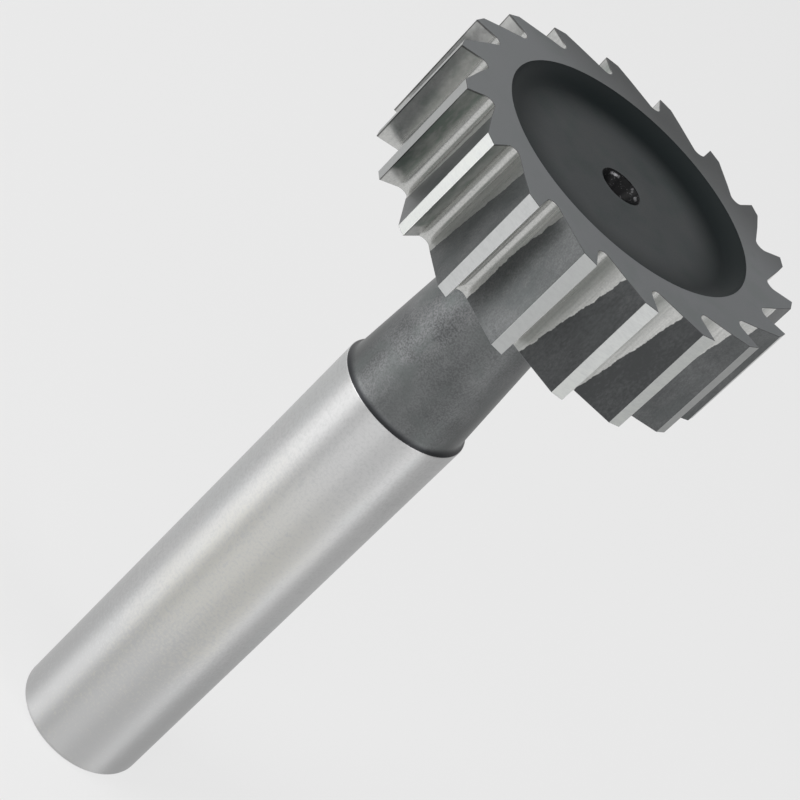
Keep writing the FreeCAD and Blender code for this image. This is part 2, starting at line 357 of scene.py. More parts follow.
@dataclass(frozen=True)
class Oxide(Finish):
    """Dark oxide left by the steam oven, with a fine grain and faint coloured clouds.

    It is plain on the broken edges of the teeth.
    """

    name: str = "edge_oxide"
    dark: Colour = (0.03, 0.031, 0.032)
    light: Colour = (0.07, 0.071, 0.073)
    tint: Colour = (0.035, 0.04, 0.04)
    clouds: Grain = Grain(0.22, 3.0, 0.55)
    hues: Grain = Grain(0.45, stretch=(1.0, 1.0, 0.8))
    grain_size: float = 0.12
    grain_height: float = 0.006
    roughness: float = 0.6
    metallic: float = 0.2

    def look(self, bench: Bench) -> Look:
        """Return what varies over the surface."""
        speck = Grain(1.0 / self.grain_size, rough=0.6).on(bench)
        cloud, hue = self.clouds.on(bench), self.hues.on(bench)
        base = bench.mix(speck.rise(-0.2, 0.2) * 0.55 + cloud * 1.6 + 0.25, self.dark, self.light)
        colour = bench.mix(hue.rise(-0.05, 0.2) * 0.7, base, self.tint)
        roughness = self.roughness + cloud * 0.18 + speck * 0.15
        return Look(colour, roughness, self.metallic, speck * self.grain_height)


@dataclass(frozen=True)
class FaceOxide(Oxide):
    """The oxide of the ground face, with painted light that lightens it towards -X and -Y and painted shade
    that darkens it towards +Y.
    """

    name: str = "face_oxide"
    dark: Colour = (0.1475, 0.155, 0.161)
    light: Colour = (0.187, 0.195, 0.202)
    tint: Colour = (0.155, 0.17, 0.17)
    # The darker oxide colour that painted shade mixes towards.
    shade_and_oxide: Colour = (0.074, 0.078, 0.079)
    grain_height: float = 0.001
    roughness: float = 0.5
    metallic: float = 0.5
    # The lighter colour of the side with painted light.
    thin: Colour = (0.19, 0.199, 0.204)
    lit_side_share: float = 0.8
    lit_side_reach: Point = (2.0, 19.0)
    shaded_side_reach: Point = (4.0, 14.6)

    def look(self, bench: Bench) -> Look:
        """Return what varies over the surface."""
        look = super().look(bench)
        across, along, _ = bench.parts(bench.place())
        # Painted light: the colour lightens towards -X and -Y.
        thin = (-across - along * 0.6).rise(*self.lit_side_reach) * self.lit_side_share
        look.colour = bench.mix(thin, look.colour, self.thin)
        # Painted shade: the colour darkens towards +Y.
        look.colour = bench.mix(along.rise(*self.shaded_side_reach), look.colour, self.shade_and_oxide)
        return look


@dataclass(frozen=True)
class NeckOxide(Oxide):
    """The oxide of the turned neck, with painted shade that darkens it towards +X, at both sides along X,
    near the shoulder towards -X, and in the hollow at the shoulder.
    """

    name: str = "neck_oxide"
    grain: float = 0.6
    dark: Colour = (0.085, 0.088, 0.09)
    light: Colour = (0.235, 0.24, 0.243)
    tint: Colour = (0.135, 0.149, 0.146)
    shade_and_oxide: Colour = (0.075, 0.079, 0.079)
    # The near black colour of the painted shade in the hollow.
    hollow_shade: Colour = (0.028, 0.029, 0.031)
    drifts: Grain = Grain(0.5, stretch=(1.0, 1.0, 0.3))
    grain_size: float = 0.15
    grain_height: float = 0.012
    roughness: float = 0.44
    metallic: float = 0.9
    side_share: float = 0.48
    limb_share: float = 0.5
    low_share: float = 0.27
    shoulder: float = 45.0

    def look(self, bench: Bench) -> Look:
        """Return what varies over the surface."""
        look = super().look(bench)
        across, _, height = bench.parts(bench.place())
        climb = height - self.shoulder
        # Painted shade: side, limb and low darken the oxide towards +X, at both sides along X and near the
        # shoulder towards -X; hollow darkens the hollow at the shoulder.
        side = (across + self.drifts.on(bench) * 4.5).rise(-1.9, -0.1) * self.side_share
        limb = abs(across).rise(4.4, 5.2) * self.limb_share
        low = (1.0 - climb.rise(1.5, 8.0)) * (1.0 - across.rise(-0.6, 3.2)) * self.low_share
        hollow = 1.0 - climb.rise(0.1, 0.66)
        oxide = bench.mix(side + limb + low, look.colour, self.shade_and_oxide)
        look.colour = bench.mix(hollow, oxide, self.hollow_shade)
        return look


@dataclass(frozen=True)
class RecessOxide(Oxide):
    """The oxide of the turned recess, with faint turning rings and painted shade: a black, rough coat that
    darkens the corner at the wall, more so towards +Y.
    """

    name: str = "recess_oxide"
    dark: Colour = (0.0128, 0.0162, 0.0176)
    light: Colour = (0.0205, 0.0246, 0.0271)
    tint: Colour = (0.0085, 0.0165, 0.0165)
    hollow_shade: Colour = (0.0062, 0.0091, 0.0096)
    hollow_shade_roughness: float = 0.7
    hollow_shade_specular: float = 0.14
    rings: Grain = Grain(5.0)
    ring_height: float = 0.002
    grain_height: float = 0.002
    roughness: float = 0.47
    metallic: float = 0.0
    specular: float = 0.4
    corner: Point = (6.3, 11.0)
    corner_shade_share: float = 0.7
    back: Point = (-2.0, 9.0)
    far_shade_share: float = 0.3

    def radius(self, bench: Bench) -> Signal:
        """Return the distance from the cutter's axis in millimetres."""
        return bench.vector("LENGTH", bench.place((1.0, 1.0, 0.0)), output="Value")

    def look(self, bench: Bench) -> Look:
        """Return what varies over the surface."""
        look = super().look(bench)
        rings = self.rings.on(bench, bench.join(X=self.radius(bench)))
        look.height = look.height + rings * self.ring_height
        return look

    def surface(self, bench: Bench) -> Signal:
        """Return the shader of this finish, with painted shade mixed in towards the corner at the wall."""
        across, along, _ = bench.parts(bench.place())
        # Painted shade: a black coat that grows towards the wall and towards +Y.
        share = (across * 0.35 + along).rise(*self.back) * self.far_shade_share + self.corner_shade_share
        corner = self.radius(bench).rise(*self.corner) * share
        shaded = {
            "Base Color": as_rgba(self.hollow_shade),
            "Roughness": self.hollow_shade_roughness,
            "Specular IOR Level": self.hollow_shade_specular,
        }
        hollow_shade = bench.add("ShaderNodeBsdfPrincipled", shaded)
        return bench.add("ShaderNodeMixShader", {0: corner, 1: super().surface(bench), 2: hollow_shade})


@dataclass(frozen=True)
class CentreOxide(Oxide):
    """The near black oxide of the centre hole, with faint scratches and painted glints: a few spots of
    bright metal on its seat where highlights fall.

    Each glint is given by its X and Y on the seat in the face, and by how bright it is.
    """

    name: str = "centre_oxide"
    dark: Colour = (0.002, 0.002, 0.0025)
    light: Colour = (0.006, 0.006, 0.0065)
    tint: Colour = (0.002, 0.003, 0.003)
    grain_height: float = 0.01
    roughness: float = 0.35
    metallic: float = 0.0
    specular: float = 0.07
    scratch_and_glint: Colour = (0.15, 0.15, 0.155)
    glints: tuple[Spot, ...] = (
        (-1.28, 1.10, 0.5), (-1.18, 1.22, 0.8), (-1.06, 1.32, 0.75), (-0.94, 1.42, 0.95),
        (-0.82, 1.50, 1.0), (-0.66, 1.57, 0.55), (0.72, 1.60, 0.35), (0.85, 1.45, 0.3),
        (1.33, 1.03, 0.75), (1.42, 0.91, 0.75), (1.50, 0.77, 0.5),
    )
    glint_size: float = 0.15
    glint_edges: Grain = Grain(3.5, 3.0, 0.6)
    scratches: Grain = Grain(5.0, stretch=(1.0, 1.0, 2.0))
    mouth_radius: float = 1.85
    mouth_height: float = 70.3
    cone_fall: float = 1.732

    def look(self, bench: Bench) -> Look:
        """Return what varies over the surface."""
        look = super().look(bench)
        place, ragged = bench.place(), self.glint_edges.on(bench) * 0.3
        scratch_and_glint = self.scratches.on(bench).rise(0.12, 0.2) * 0.3
        # Painted glints: each spot is bright metal placed where a highlight falls.
        for x, y, bright in self.glints:
            height = self.mouth_height - (self.mouth_radius - math.hypot(x, y)) * self.cone_fall
            gap = bench.vector("DISTANCE", place, (x, y, height), output="Value") + ragged
            scratch_and_glint = scratch_and_glint.at_least((1.0 - gap.rise(self.glint_size * 0.3, self.glint_size)) * bright)
        look.colour = bench.mix(scratch_and_glint, look.colour, self.scratch_and_glint)
        look.metallic = scratch_and_glint
        return look


@dataclass(frozen=True)
class GroundLand(Finish):
    """The land behind a cutting edge, ground bright with marks across it, and lit or shaded tooth by tooth
    with painted light and shade.
    """

    name: str = "ground_land"
    grain: float = 0.8
    grain_turn: float = 0.203
    steel: Colour = (0.621, 0.63, 0.629)
    worn: Colour = (0.544, 0.555, 0.553)
    # The colour of a land in full painted shade.
    shaded: Colour = (0.257, 0.263, 0.26)
    green: Colour = (0.626, 0.642, 0.618)
    roughness: float = 0.40
    marks: Grain = Grain(2.4, 3.0, 0.65)
    lines: Grain = Grain(9.0, rough=0.6)
    clouds: Grain = Grain(0.3)
    hues: Grain = Grain(1.0)
    mark_height: float = 0.0025

    def look(self, bench: Bench) -> Look:
        """Return what varies over the surface."""
        flank, tooth = bench.flank(), bench.attribute(Tag.TOOTH)
        across = bench.vector("MULTIPLY", flank, (0.35, 1.0, 1.0))
        across = bench.vector("ADD", across, bench.join(Z=tooth * 7.31))
        marks, lines = self.marks.on(bench, across), self.lines.on(bench, across)
        cloud = self.clouds.on(bench)
        hue = self.hues.on(bench, bench.join(X=tooth * 1.7, Y=flank * 0.04))
        base = bench.mix(hue.rise(-0.04, 0.06), self.steel, self.green)
        colour = bench.mix(marks * 2.4 + lines * 1.8 + cloud * 0.8 + 0.3, base, self.worn)
        # Painted light and shade per tooth: each land's random value sets how lit it looks, down to the
        # shaded colour.
        colour = bench.mix(bench.attribute(Tag.BRIGHT), self.shaded, colour)
        return Look(colour, self.roughness + marks * 0.15, 1.0, marks * self.mark_height)


@dataclass(frozen=True)
class MilledBack(Oxide):
    """The milled back of a tooth, with oxide drifts and spots, painted light and shade that differs tooth
    by tooth, and a bump that is smoother on some teeth than on others.
    """

    name: str = "milled_back"
    grain: float = 0.75
    dark: Colour = (0.09, 0.094, 0.095)
    light: Colour = (0.165, 0.17, 0.172)
    tint: Colour = (0.095, 0.104, 0.104)
    shade_and_oxide: Colour = (0.047, 0.049, 0.05)
    drifts: Grain = Grain(0.5, 3.0, 0.6, (1.0, 1.0, 0.5))
    spots: Grain = Grain(6.0, stretch=(1.0, 1.0, 0.5))
    grain_height: float = 0.007
    roughness: float = 0.42
    metallic: float = 0.8

    def look(self, bench: Bench) -> Look:
        """Return what varies over the surface."""
        look = super().look(bench)
        # Painted light and shade per tooth: the tooth's random value lightens some backs and leaves others
        # darker.
        thin = bench.attribute(Tag.TOOTH_LIGHT)
        share = thin + self.drifts.on(bench) * 0.7 + self.spots.on(bench) * 0.6
        look.colour = bench.mix(share, self.shade_and_oxide, look.colour)
        look.height = look.height * (0.25 + thin)
        return look


@dataclass(frozen=True)
class GroundGullet(Finish):
    """Bare steel where the wheel ran, bright in the root, streaked on the back, darker on the cutting face,
    with a painted shadow at the foot of the back, per-tooth painted light and shade on the face, and a
    painted reflection near the back of the head.
    """

    name: str = "ground_gullet"
    grain: float = 0.6
    grain_turn: float = 0.0
    steel: Colour = (0.62, 0.62, 0.605)
    worn: Colour = (0.40, 0.405, 0.395)
    face: Colour = (0.225, 0.24, 0.225)
    light_face: Colour = (0.69, 0.69, 0.68)
    green: Colour = (0.19, 0.23, 0.205)
    burr: Colour = (0.07, 0.07, 0.068)
    streaks: Grain = Grain(1.0, 3.0, 0.6)
    clouds: Grain = Grain(0.45)
    specks: Grain = Grain(7.0)
    patches: Grain = Grain(0.9, 3.0, 0.65, (1.0, 1.0, 0.5))
    mottles: Grain = Grain(3.0, 4.0, 0.7)
    roughness: float = 0.24
    streak_height: float = 0.0015
    mottle_height: float = 0.005
    head_width: float = HEAD_WIDTH
    root_span: float = -1.17
    tip_span: float = -2.98
    burr_width: Point = (0.08, 0.16)

    def look(self, bench: Bench) -> Look:
        """Return what varies over the surface."""
        span, height, _ = bench.parts(bench.flank())
        on_back = span.rise(-0.3, 0.4)
        on_face = 1.0 - span.rise(self.root_span - 0.5, self.root_span + 0.35)
        along = bench.join(X=span * 5.0, Y=height * 0.2, Z=bench.attribute(Tag.TOOTH) * 5.1)
        streak = self.streaks.on(bench, along) * (0.35 + on_back * 0.65)
        cloud, speck, patch = self.clouds.on(bench), self.specks.on(bench), self.patches.on(bench)
        mottle = self.mottles.on(bench) * (1.0 - height.rise(0.8, 2.6) * 0.7)

        colour = bench.mix(streak * 1.9 + speck * 1.2 + 0.35, self.steel, self.worn)
        # Painted shadow: the foot of the back darkens towards the root, on the wider strips.
        foot = on_back * (1.0 - span.rise(0.2, 1.7)) * bench.attribute(Tag.STRIP).rise(1.6, 2.2)
        colour = bench.mix(foot * 0.6, colour, self.face)
        # The lighter tone of lit cutting faces, with mottles.
        bare = bench.mix(mottle * 3.5 + 0.45, self.light_face, self.worn)
        face = bench.mix(patch.rise(-0.08, 0.1) * 0.8, self.face, self.green)
        # Per-tooth painted light and shade: faces of lit teeth take the lighter mottled tone, shaded ones
        # the dark tone, broken by patches and mottles.
        tooth_shade_and_patches = bench.attribute(Tag.TOOTH_LIGHT).rise(0.42, 1.02) + patch * 1.2 + mottle * 0.5
        face = bench.mix(tooth_shade_and_patches, bare, face)
        # Painted reflection: near the back of the head the cutting face keeps the lighter ground steel
        # colour.
        away_from_rear_light = (height + cloud * 1.5 + span * 0.3).rise(0.2, 0.7)
        colour = bench.mix((on_face + cloud * on_face) * away_from_rear_light, colour, face)

        rear = self.head_width - height
        thin, wide = self.burr_width
        line = (1.0 - rear.rise(wide - 0.06, wide)).at_least(1.0 - (span - self.tip_span).rise(0.0, thin))
        colour = bench.mix(line * on_face * 0.8, colour, self.burr)
        scuffed = (1.0 - (rear - cloud * 1.6).rise(1.1, 1.7)) * on_face
        scuffed = scuffed * bench.attribute(Tag.BRIGHT).rise(0.86, 0.92) * (0.7 + speck + patch * 3.0)
        roughness = self.roughness + streak * 0.3 + on_back * 0.08 + on_face * 0.06
        relief = streak * self.streak_height + mottle * on_face * self.mottle_height
        return Look(colour, roughness, 1.0 - scuffed * 0.4, relief)


@dataclass(frozen=True)
class ToothFlank(Finish):
    """The oxidised back of a tooth, and the bright strip, gullet and cutting face ground after it."""

    name: str = "tooth_flank"
    back: Finish = MilledBack()
    ground: Finish = GroundGullet()
    edges: Grain = Grain(1.3, 3.0, 0.65)
    head_width: float = HEAD_WIDTH
    strip_fall: float = STRIP_FALL
    strip_least: float = STRIP_LEAST
    scallop: float = 0.44
    seam: float = 0.03

    def surface(self, bench: Bench) -> Signal:
        """Return the shader of this finish, with the ground strip's ragged edge as the seam."""
        span, height, _ = bench.parts(bench.flank())
        waves = bench.join(X=height, Y=bench.attribute(Tag.TOOTH) * 3.7, Z=span * 0.6)
        ragged = self.edges.on(bench, waves) * self.scallop
        fall = (1.0 - height / self.head_width) * self.strip_fall
        edge = (bench.attribute(Tag.STRIP) - fall).at_least(self.strip_least) + ragged
        ground = 1.0 - span.rise(edge - self.seam, edge + self.seam)
        inputs = {0: ground, 1: self.back.surface(bench), 2: self.ground.surface(bench)}
        return bench.add("ShaderNodeMixShader", inputs)


# The cutter's own shapes


@dataclass
class Sheet:
    """A patch of mesh: rows of points that quads join, or one flat many-sided face."""

    rows: list[list[Vector]]
    zone: Zone
    across: Optional[list[list[Point]]] = None
    rise: Optional[list[list[Point]]] = None
    flip: bool = False
    flat: bool = False


def placed(name: str, data: bpy.types.ID) -> bpy.types.Object:
    """Return a new object in the scene."""
    thing = bpy.data.objects.new(name, data)
    bpy.context.scene.collection.objects.link(thing)
    return thing


def polar(radius: float, degrees: float) -> Vector:
    """Return the point of the plane at this radius and angle."""
    angle = math.radians(degrees)
    return Vector((radius * math.cos(angle), radius * math.sin(angle)))


def spread(first: float, last: float, count: int, guard: float = 0.0) -> list[float]:
    """Return evenly spread numbers from first to last, with one more just inside each end.

    Args:
        first: First number.
        last: Last number.
        count: How many even steps there are.
        guard: How far inside the ends the extra numbers are, or 0 for none.

    Returns:
        The numbers in order.
    """
    numbers = [first + (last - first) * step / count for step in range(count + 1)]
    if guard:
        inward = math.copysign(guard, last - first)
        numbers = sorted({*numbers, first + inward, last - inward}, reverse=last < first)
    return numbers


def arc(centre: Point, radius: float, start: float, stop: float, count: int) -> list[Point]:
    """Return points along an arc, both ends included, with its angles in degrees."""
    points = (Vector(centre) + polar(radius, angle) for angle in spread(start, stop, count))
    return [(point.x, point.y) for point in points]


@dataclass(frozen=True)
class CentreHole:
    """A centre drilling: a 60 degree seat and the pilot hole below it."""

    mouth: float = 3.7
    cone_angle: float = 60.0
    pilot: float = 2.0
    pilot_depth: float = 4.5
    point_angle: float = 118.0
    edge: float = 0.05
    seat_shares: tuple[float, ...] = (0.1, 0.4, 0.7, 0.97)

    def profile(self) -> list[Point]:
        """Return (radius, depth) from the rounded mouth down to the drill's point."""
        mouth, pilot = self.mouth / 2, self.pilot / 2
        seat = (mouth - pilot) / math.tan(math.radians(self.cone_angle / 2))
        tip = self.pilot_depth + pilot / math.tan(math.radians(self.point_angle / 2))
        points = [(mouth, 0.0), (mouth - self.edge, self.edge)]
        points += [(mouth - (mouth - pilot) * step, seat * step) for step in self.seat_shares]
        points += [(pilot, seat), (pilot, seat + GUARD), (pilot, self.pilot_depth), (0.0, tip)]
        return points


@dataclass
class Shank:
    """The ground cylindrical shank with its rounded free end."""

    diameter: float = 12.0
    length: float = 45.0
    end_radius: float = 0.5
    corner: float = 0.04

    def profile(self) -> list[Point]:
        """Return (radius, height) from the end face's rounding up to the shoulder's edge."""
        radius, edge = self.diameter / 2, self.end_radius
        points = arc((radius - edge, edge), edge, -90, 0, 8)
        top = self.length - self.corner
        points += [(radius, height) for height in spread(edge, top, 12, GUARD)[1:]]
        return points + [(radius - self.corner, self.length)]

    def end_face(self, hole: CentreHole) -> list[Point]:
        """Return (radius, height) across the flat end, from the centre hole outwards."""
        outer = self.diameter / 2 - self.end_radius
        return [(radius, 0.0) for radius in spread(hole.mouth / 2, outer, 4, FINE_GUARD)]


@dataclass
class Neck:
    """The turned neck, a little slimmer towards the head, with a hollow at the shoulder."""

    shank_diameter: float = 12.0
    start: float = 45.0
    length: float = 16.4
    taper: float = 3.8
    step: float = 0.34
    hollow: float = 0.8
    root: float = 1.0
    corner: float = 0.04

    def radius_at(self, height: float) -> float:
        """Return the slope's radius at this height above the shoulder."""
        slope = math.tan(math.radians(self.taper))
        return self.shank_diameter / 2 - self.step - height * slope

    def profile(self) -> list[Point]:
        """Return (radius, height) from the shoulder up to the back of the head."""
        lean = math.radians(self.taper)
        back = self.start + self.length
        inset = self.hollow - self.step * math.cos(lean)
        climb = math.sqrt(self.hollow**2 - inset**2) - self.step * math.sin(lean)
        foot = Vector((self.radius_at(0) - climb * math.sin(lean), self.start + climb * math.cos(lean)))
        centre = foot + self.hollow * Vector((math.cos(lean), math.sin(lean)))
        corner = Vector((self.shank_diameter / 2 - self.corner, self.start)) - centre
        from_angle = math.degrees(math.atan2(corner.y, corner.x)) + 360
        root_height = self.length - self.root
        root_centre = (self.radius_at(root_height) + self.root / math.cos(lean), back - self.root)
        hollow = arc(tuple(centre), self.hollow, from_angle, 180 + self.taper, 8)
        fillet = arc(root_centre, self.root, 180 + self.taper, 90, 8)
        hollow[0] = (self.shank_diameter / 2 - self.corner, self.start)
        first, last = Vector(hollow[-1]), Vector(fillet[0])
        length = (last - first).length
        slope = [first.lerp(last, along / length) for along in spread(0.0, length, 8, GUARD)]
        return hollow + [(point.x, point.y) for point in slope[1:-1]] + fillet


@dataclass
class FaceRecess:
    """The shallow hollow turned in the face, with its concave wall."""

    mouth: float = 11.53
    top: float = 71.4
    depth: float = 1.1
    wall: float = 1.8
    edge: float = 0.04

    def profile(self, hole: CentreHole) -> list[Point]:
        """Return (radius, height) from the mouth's edge across the floor to the centre hole."""
        run = math.sqrt(self.wall**2 - (self.wall - self.depth) ** 2)
        centre = (self.mouth - run, self.top - self.depth + self.wall)
        rim = math.degrees(math.asin((self.depth - self.wall) / self.wall))
        wall = arc(centre, self.wall, rim, -90, 12)
        wall[0] = (self.mouth - self.edge * 0.4, self.top - self.edge)
        across = spread(wall[-1][0], hole.mouth / 2, 6, GUARD)
        floor = [(radius, self.top - self.depth) for radius in across]
        return [(self.mouth, self.top)] + wall + floor[1:]


@dataclass
class Station:
    """One point of the tooth's outline.

    The span is measured from the root's end up the back, is negative round the root and down the
    cutting face, and starts again at the cutting edge on the land. The share is 1 where a point
    belongs to the back, which the grinding wheel cuts a little deeper, and falls to 0 round the root.
    """

    place: Vector
    span: float
    share: float
    zone: Zone


@dataclass
class ToothedWheel:
    """The head: backed-off teeth round a disc, each with a ground land, face and gullet."""

    diameter: float = 32.5
    width: float = HEAD_WIDTH
    back_height: float = 61.4
    teeth: int = 18
    land: float = 1.2
    relief: float = 9.0
    rake: float = 9.0
    gullet: float = 58.0
    root: float = 0.55
    edge: float = 0.03
    lead: float = 0.2
    strip_front: float = 1.76
    strip_fall: float = STRIP_FALL
    strip_least: float = STRIP_LEAST
    strip_jitter: float = 0.99
    facet_slope: float = 2.5
    rows: int = 12
    least_slant: float = 0.35

    @property
    def pitch(self) -> float:
        """Return the angle between two teeth."""
        return 360.0 / self.teeth

    @property
    def back_direction(self) -> float:
        """Return the angle in which the first tooth's back runs outwards."""
        return self.rake - self.pitch + self.gullet

    def heel(self) -> Vector:
        """Return the point where the first tooth's land ends."""
        return polar(self.diameter / 2, 0) + polar(self.land, -90 - self.relief)

    def outline(self, height: float) -> list[Station]:
        """Trace one tooth space clockwise, from a heel to the next tooth's heel.

        The ground face and root are shifted along the land, most at the back of the head.

        Args:
            height: How far above the back of the head the outline is.

        Returns:
            The stations in order, the first and last a tooth apart.
        """
        lead = self.lead * (1 - height / self.width)
        heel = self.heel()
        next_heel = Matrix.Rotation(math.radians(-self.pitch), 2) @ heel
        tip = polar(self.diameter / 2, -self.pitch) + polar(lead, -90 - self.relief - self.pitch)
        face_out = self.rake - self.pitch
        back, face = polar(1, self.back_direction), polar(1, face_out)
        between = heel - tip
        reach = (between.x * back.y - between.y * back.x) / (face.x * back.y - face.y * back.x)
        crossing = tip + face * reach
        half = math.radians(self.gullet / 2)
        middle = crossing + polar(self.root / math.sin(half), face_out + self.gullet / 2)
        back_foot = crossing + back * (self.root / math.tan(half))
        face_foot = crossing + face * (self.root / math.tan(half))

        stations = []
        length = (heel - back_foot).length
        for rise in spread(length, 0.0, 22, FINE_GUARD):
            stations.append(Station(back_foot + back * rise, rise, 1.0, Zone.FLANK))
        start = self.back_direction + 90
        sweep = 180 - self.gullet
        for turn in spread(0.0, sweep, 10)[1:]:
            span = -math.radians(turn) * self.root
            place = middle + polar(self.root, start + turn)
            stations.append(Station(place, span, 1.0 - turn / sweep, Zone.FLANK))
        root_span = stations[-1].span
        depth = (tip - face_foot).length
        for climb in spread(0.0, depth, 8, FINE_GUARD)[1:]:
            stations.append(Station(face_foot + face * climb, root_span - climb, 0.0, Zone.FLANK))
        stations[-1].zone = Zone.LAND
        width = (next_heel - tip).length
        for along in spread(0.0, width, 4, FINE_GUARD)[1:]:
            stations.append(Station(tip.lerp(next_heel, along / width), along, 0.0, Zone.LAND))
        return stations

    def inset(self, stations: list[Station]) -> list[Vector]:
        """Return the outline moved into the tooth by the width of the broken edge."""
        turn = Matrix.Rotation(math.radians(-self.pitch), 2)
        places = [station.place for station in stations]
        before = turn.inverted() @ places[-2]
        after = turn @ places[1]
        chain = [before, *places, after]
        moved = []
        for previous, place, following in zip(chain, chain[1:], chain[2:]):
            first = (place - previous).normalized()
            second = (following - place).normalized()
            normal = Vector((first.y + second.y, -first.x - second.x)).normalized()
            slant = max(self.least_slant, normal.dot(Vector((first.y, -first.x))))
            moved.append(place + normal * (self.edge / slant))
        return moved

    def row(self, height: float) -> tuple[list[Vector], list[Station]]:
        """Return the outline's points and stations at this height, inside the broken edge on an end."""
        stations = self.outline(height)
        on_end = height in (0.0, self.width)
        places = self.inset(stations) if on_end else [station.place for station in stations]
        return [Vector((*place, self.back_height + height)) for place in places], stations

    def sheets(self) -> list[Sheet]:
        """Return the flank and land of one tooth space, with both broken edges."""
        heights = spread(self.edge, self.width - self.edge, self.rows, FINE_GUARD)
        rows, spans, rises, zones = [], [], [], []
        for height in [0.0, *heights, self.width]:
            points, stations = self.row(height)
            rows.append(points)
            spans.append([(station.span, height) for station in stations])
            rises.append([(station.span, station.share) for station in stations])
            zones = [station.zone for station in stations]
        tip = zones.index(Zone.LAND)
        parts = [
            Sheet(rows[:2], Zone.HEAD_BACK, None, rises[:2]),
            Sheet(rows[-2:], Zone.EDGE, None, rises[-2:]),
        ]
        for zone, span in ((Zone.FLANK, slice(0, tip + 1)), (Zone.LAND, slice(tip, None))):
            across = [row[span] for row in spans[1:-1]]
            if zone is Zone.LAND:
                across = [[(0.0, row[0][1]), *row[1:]] for row in across]
            carried = [row[span] for row in rises[1:-1]]
            parts.append(Sheet([row[span] for row in rows[1:-1]], zone, across, carried))
        return parts


